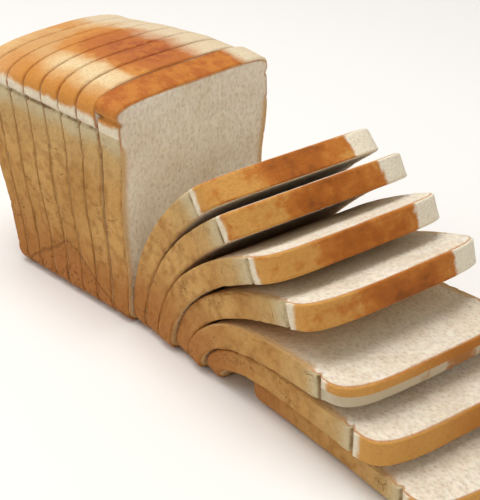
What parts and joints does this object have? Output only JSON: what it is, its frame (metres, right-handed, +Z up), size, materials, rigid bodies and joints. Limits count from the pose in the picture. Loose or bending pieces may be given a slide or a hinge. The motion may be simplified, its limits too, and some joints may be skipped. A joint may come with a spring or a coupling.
{
  "type": "tin loaf",
  "caption": "Sliced white tin loaf: its rear half stands as a block and the rest has tipped forward into a fan of bent slices down to the front heel.",
  "frame": {"origin": "middle of the loaf's footprint, on the surface it rests on", "axes": "+X along the loaf from the rear heel to the front heel, +Y across it, +Z up"},
  "size_m": [0.4012, 0.1368, 0.1469],
  "materials": {
    "sliced_bread": "matte",
    "heel_bread": "matte"
  },
  "bodies": {
    "root": {"rear_heel": "heel_bread", "standing_slice_1": "sliced_bread", "standing_slice_2": "sliced_bread", "standing_slice_3": "sliced_bread", "standing_slice_4": "sliced_bread", "standing_slice_5": "sliced_bread", "standing_slice_6": "sliced_bread", "standing_slice_7": "sliced_bread", "leaning_slice_1": "sliced_bread", "leaning_slice_2": "sliced_bread", "leaning_slice_3": "sliced_bread", "leaning_slice_4": "sliced_bread", "fallen_slice_1": "sliced_bread", "fallen_slice_2": "sliced_bread", "front_heel": "heel_bread"}
  },
  "joints": []
}
